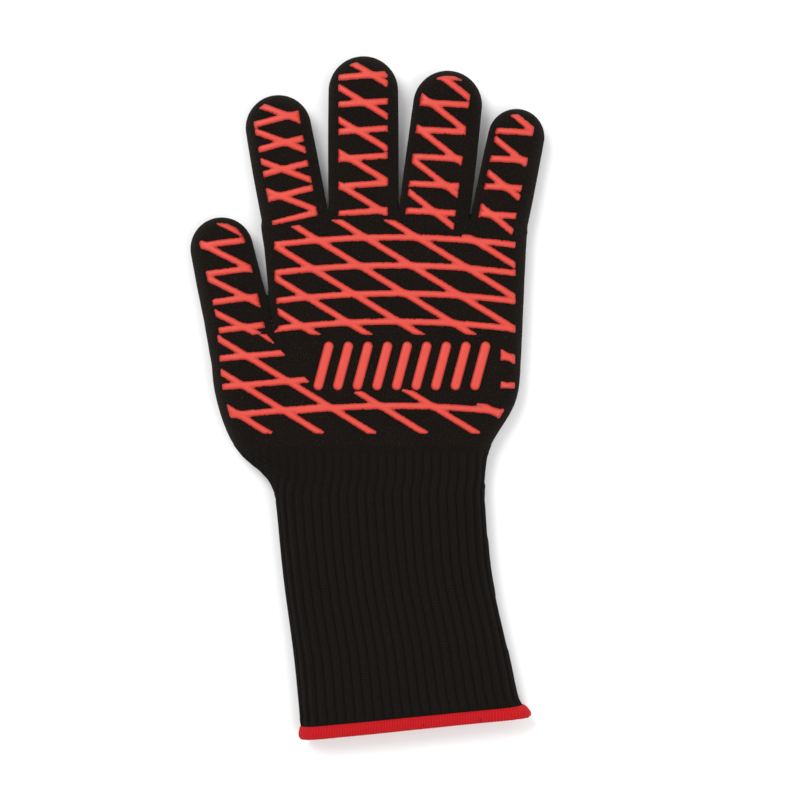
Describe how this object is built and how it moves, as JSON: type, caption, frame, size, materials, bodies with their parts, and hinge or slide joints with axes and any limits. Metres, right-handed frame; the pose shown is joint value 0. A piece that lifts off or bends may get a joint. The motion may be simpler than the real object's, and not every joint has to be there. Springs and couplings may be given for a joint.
{
  "type": "heat resistant glove",
  "caption": "Long-cuffed knitted heat resistant glove with a raised silicone grip lattice on both faces, a cotton liner and a bound cuff mouth; fingers, thumb and wrist fold.",
  "frame": {"origin": "centre of the glove in plan, on the surface that its back lies on", "axes": "+Y towards the fingertips, +X away from the thumb, +Z out of the palm"},
  "size_m": [0.1697, 0.3284, 0.0166],
  "materials": {
    "knit_black": "fine plain knit, matt",
    "rib_black": "ribbed knit, matt",
    "liner_cotton": "soft natural cotton jersey",
    "silicone_red": "satin printed silicone",
    "hem_red": "overlocked thread binding"
  },
  "bodies": {
    "palm": {"palm_shell": "knit_black", "palm_liner": "liner_cotton", "palm_grip": "silicone_red", "palm_bars": "silicone_red"},
    "cuff": {"cuff_shell": "rib_black", "cuff_liner": "liner_cotton", "cuff_hem": "hem_red"},
    "thumb_proximal": {"thumb_proximal_shell": "knit_black", "thumb_proximal_liner": "liner_cotton", "thumb_proximal_grip": "silicone_red"},
    "thumb_tip": {"thumb_tip_shell": "knit_black", "thumb_tip_liner": "liner_cotton", "thumb_tip_grip": "silicone_red"},
    "index_proximal": {"index_proximal_shell": "knit_black", "index_proximal_liner": "liner_cotton", "index_proximal_grip": "silicone_red"},
    "index_middle": {"index_middle_shell": "knit_black", "index_middle_liner": "liner_cotton", "index_middle_grip": "silicone_red"},
    "index_tip": {"index_tip_shell": "knit_black", "index_tip_liner": "liner_cotton", "index_tip_grip": "silicone_red"},
    "middle_proximal": {"middle_proximal_shell": "knit_black", "middle_proximal_liner": "liner_cotton", "middle_proximal_grip": "silicone_red"},
    "middle_middle": {"middle_middle_shell": "knit_black", "middle_middle_liner": "liner_cotton", "middle_middle_grip": "silicone_red"},
    "middle_tip": {"middle_tip_shell": "knit_black", "middle_tip_liner": "liner_cotton", "middle_tip_grip": "silicone_red"},
    "ring_proximal": {"ring_proximal_shell": "knit_black", "ring_proximal_liner": "liner_cotton", "ring_proximal_grip": "silicone_red"},
    "ring_middle": {"ring_middle_shell": "knit_black", "ring_middle_liner": "liner_cotton", "ring_middle_grip": "silicone_red"},
    "ring_tip": {"ring_tip_shell": "knit_black", "ring_tip_liner": "liner_cotton", "ring_tip_grip": "silicone_red"},
    "little_proximal": {"little_proximal_shell": "knit_black", "little_proximal_liner": "liner_cotton", "little_proximal_grip": "silicone_red"},
    "little_middle": {"little_middle_shell": "knit_black", "little_middle_liner": "liner_cotton", "little_middle_grip": "silicone_red"},
    "little_tip": {"little_tip_shell": "knit_black", "little_tip_liner": "liner_cotton", "little_tip_grip": "silicone_red"}
  },
  "joints": [
    {"name": "wrist_fold", "type": "hinge", "parent": "palm", "child": "cuff", "pos_m": [0, -0.03075, 0.0158], "axis": [-1, 0, 0], "range_deg": [0, 60]},
    {"name": "thumb_root", "type": "hinge", "parent": "palm", "child": "thumb_proximal", "pos_m": [-0.06002, 0.02025, 0.0158], "axis": [0.6829, 0.7305, 0], "range_deg": [0, 50]},
    {"name": "thumb_tip_fold", "type": "hinge", "parent": "thumb_proximal", "child": "thumb_tip", "pos_m": [-0.06654, 0.0563, 0.0158], "axis": [0.9763, 0.2164, 0], "range_deg": [0, 60]},
    {"name": "index_root", "type": "hinge", "parent": "palm", "child": "index_proximal", "pos_m": [-0.03498, 0.08779, 0.0158], "axis": [0.9833, 0.1822, 0], "range_deg": [0, 60]},
    {"name": "index_middle_fold", "type": "hinge", "parent": "index_proximal", "child": "index_middle", "pos_m": [-0.03862, 0.10745, 0.0158], "axis": [0.9833, 0.1822, 0], "range_deg": [0, 75]},
    {"name": "index_tip_fold", "type": "hinge", "parent": "index_middle", "child": "index_tip", "pos_m": [-0.04199, 0.12564, 0.0158], "axis": [0.9833, 0.1822, 0], "range_deg": [0, 45]},
    {"name": "middle_root", "type": "hinge", "parent": "palm", "child": "middle_proximal", "pos_m": [-0.002, 0.09075, 0.0158], "axis": [1, 0, 0], "range_deg": [0, 60]},
    {"name": "middle_middle_fold", "type": "hinge", "parent": "middle_proximal", "child": "middle_middle", "pos_m": [-0.002, 0.11575, 0.0158], "axis": [1, 0, 0], "range_deg": [0, 75]},
    {"name": "middle_tip_fold", "type": "hinge", "parent": "middle_middle", "child": "middle_tip", "pos_m": [-0.002, 0.13925, 0.0158], "axis": [1, 0, 0], "range_deg": [0, 45]},
    {"name": "ring_root", "type": "hinge", "parent": "palm", "child": "ring_proximal", "pos_m": [0.03212, 0.08865, 0.0158], "axis": [0.9925, -0.1219, 0], "range_deg": [0, 60]},
    {"name": "ring_middle_fold", "type": "hinge", "parent": "ring_proximal", "child": "ring_middle", "pos_m": [0.03505, 0.11247, 0.0158], "axis": [0.9925, -0.1219, 0], "range_deg": [0, 75]},
    {"name": "ring_tip_fold", "type": "hinge", "parent": "ring_middle", "child": "ring_tip", "pos_m": [0.03773, 0.13431, 0.0158], "axis": [0.9925, -0.1219, 0], "range_deg": [0, 45]},
    {"name": "little_root", "type": "hinge", "parent": "palm", "child": "little_proximal", "pos_m": [0.06296, 0.08375, 0.0158], "axis": [0.9799, -0.1994, 0], "range_deg": [0, 60]},
    {"name": "little_middle_fold", "type": "hinge", "parent": "little_proximal", "child": "little_middle", "pos_m": [0.06675, 0.10237, 0.0158], "axis": [0.9799, -0.1994, 0], "range_deg": [0, 75]},
    {"name": "little_tip_fold", "type": "hinge", "parent": "little_middle", "child": "little_tip", "pos_m": [0.07014, 0.11903, 0.0158], "axis": [0.9799, -0.1994, 0], "range_deg": [0, 45]}
  ],
  "couplings": [
    {"joint": "index_tip_fold", "follows": "index_middle_fold", "ratio": 0.6},
    {"joint": "middle_tip_fold", "follows": "middle_middle_fold", "ratio": 0.6},
    {"joint": "ring_tip_fold", "follows": "ring_middle_fold", "ratio": 0.6},
    {"joint": "little_tip_fold", "follows": "little_middle_fold", "ratio": 0.6}
  ]
}
